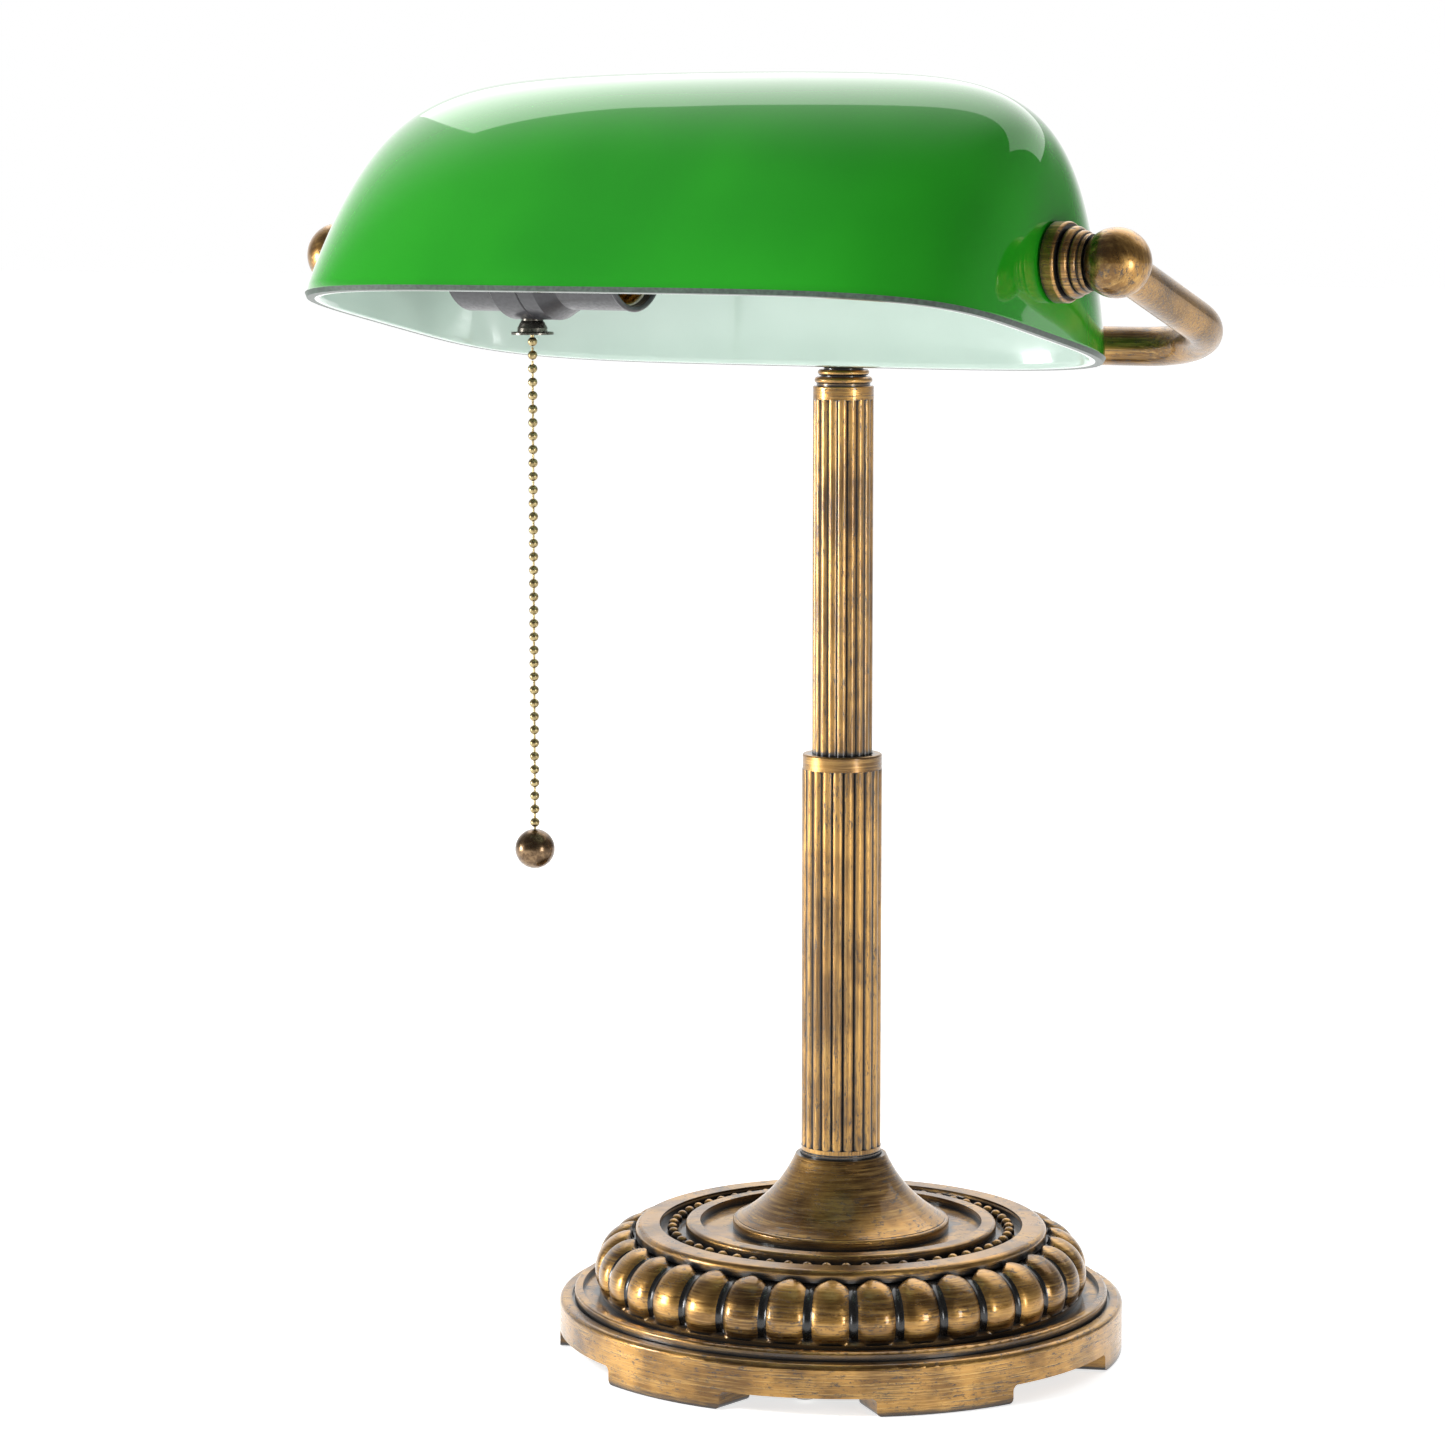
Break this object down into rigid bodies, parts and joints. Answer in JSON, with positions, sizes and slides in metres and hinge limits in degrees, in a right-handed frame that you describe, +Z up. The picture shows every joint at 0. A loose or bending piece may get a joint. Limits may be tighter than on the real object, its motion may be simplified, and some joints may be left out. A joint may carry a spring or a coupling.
{
  "type": "banker desk lamp",
  "caption": "Desk lamp with a tilting green glass shade in a yoke on a reeded brass column, a weighted footed base and a pull-chain switch.",
  "frame": {"origin": "on the surface that the lamp stands on, under the middle of the column", "axes": "+Z up along the column; +X along the shade, away from the lampholder's cap; -Y towards the user, where the shade hangs"},
  "size_m": [0.2886, 0.2446, 0.4022],
  "materials": {
    "antique_brass": "antique brass, brushed and blackened in the recesses",
    "cased_glass": "glossy green glass over an opal white inner layer",
    "phenolic": "black moulded phenolic, satin",
    "fibre": "pale pressed fibre",
    "bare_brass": "bright pressed brass",
    "cast_iron": "rough black casting",
    "dark_plate": "thin steel sheet, dark paint",
    "zinc_steel": "zinc plated",
    "black_rubber": "matt",
    "dark_nickel": "dull dark nickel plate",
    "bead_chain": "pale gilt plated beads",
    "bronze": "dark bronze, polished"
  },
  "bodies": {
    "stand": {"foot_pads": "black_rubber", "plinth": "antique_brass", "cover_plate": "dark_plate", "cover_screws": "zinc_steel", "base_weight": "cast_iron", "rod_washer": "zinc_steel", "rod_nut": "zinc_steel", "threaded_rod": "zinc_steel", "cord_bushing": "black_rubber", "gadroon_ring": "antique_brass", "top_plate": "antique_brass", "bead_ring": "antique_brass", "trumpet_cup": "antique_brass", "lower_column": "antique_brass", "column_collar": "antique_brass", "upper_column": "antique_brass", "column_capital": "antique_brass", "hub_ball": "antique_brass", "yoke_tube_left": "antique_brass", "yoke_tube_right": "antique_brass", "arm_ball_left": "antique_brass", "arm_ball_right": "antique_brass", "nipple_left": "zinc_steel", "nipple_right": "zinc_steel", "clamp_collar_left": "antique_brass", "clamp_collar_right": "antique_brass", "pivot_washer_left": "zinc_steel", "pivot_washer_right": "zinc_steel", "pivot_nut_left": "zinc_steel", "pivot_nut_right": "zinc_steel", "socket_cap": "phenolic", "socket_shell": "phenolic", "socket_liner": "fibre", "switch_block": "phenolic", "screw_shell": "bare_brass", "centre_contact": "bare_brass", "terminal_screws": "bare_brass", "switch_rotor": "fibre", "lever_pin": "zinc_steel", "return_spring": "zinc_steel", "chain_bell": "dark_nickel"},
    "shade": {"shade_glass": "cased_glass", "shade_bush_left": "black_rubber", "shade_bush_right": "black_rubber"},
    "lever": {"switch_lever": "zinc_steel"},
    "pull": {"chain_link": "bead_chain"},
    "chain_side": {"chain_swivel": "bead_chain"},
    "chain": {"pull_chain": "bead_chain", "chain_ball": "bronze"}
  },
  "joints": [
    {"name": "shade_tilt", "type": "hinge", "parent": "stand", "child": "shade", "pos_m": [0, -0.0818, 0.3471], "axis": [-1, 0, 0], "range_deg": [-40, 30]},
    {"name": "chain_pull", "type": "slide", "parent": "stand", "child": "pull", "axis": [0, 0, -1], "range_m": [0, 0.004], "stiffness_N_per_m": 1200, "springref_m": -0.002, "deforming": ["return_spring"]},
    {"name": "lever_turn", "type": "hinge", "parent": "stand", "child": "lever", "pos_m": [-0.0714, -0.0818, 0.3401], "axis": [0, 1, 0], "range_deg": [0, 25.6]},
    {"name": "chain_sway", "type": "hinge", "parent": "pull", "child": "chain_side", "pos_m": [-0.0624, -0.0818, 0.3215], "axis": [0, 1, 0], "range_deg": [-20, 20]},
    {"name": "chain_swing", "type": "hinge", "parent": "chain_side", "child": "chain", "pos_m": [-0.0624, -0.0818, 0.3174], "axis": [1, 0, 0], "range_deg": [-20, 20]}
  ],
  "couplings": [
    {"joint": "lever_turn", "follows": "chain_pull", "rad_per_m": 111.1}
  ]
}
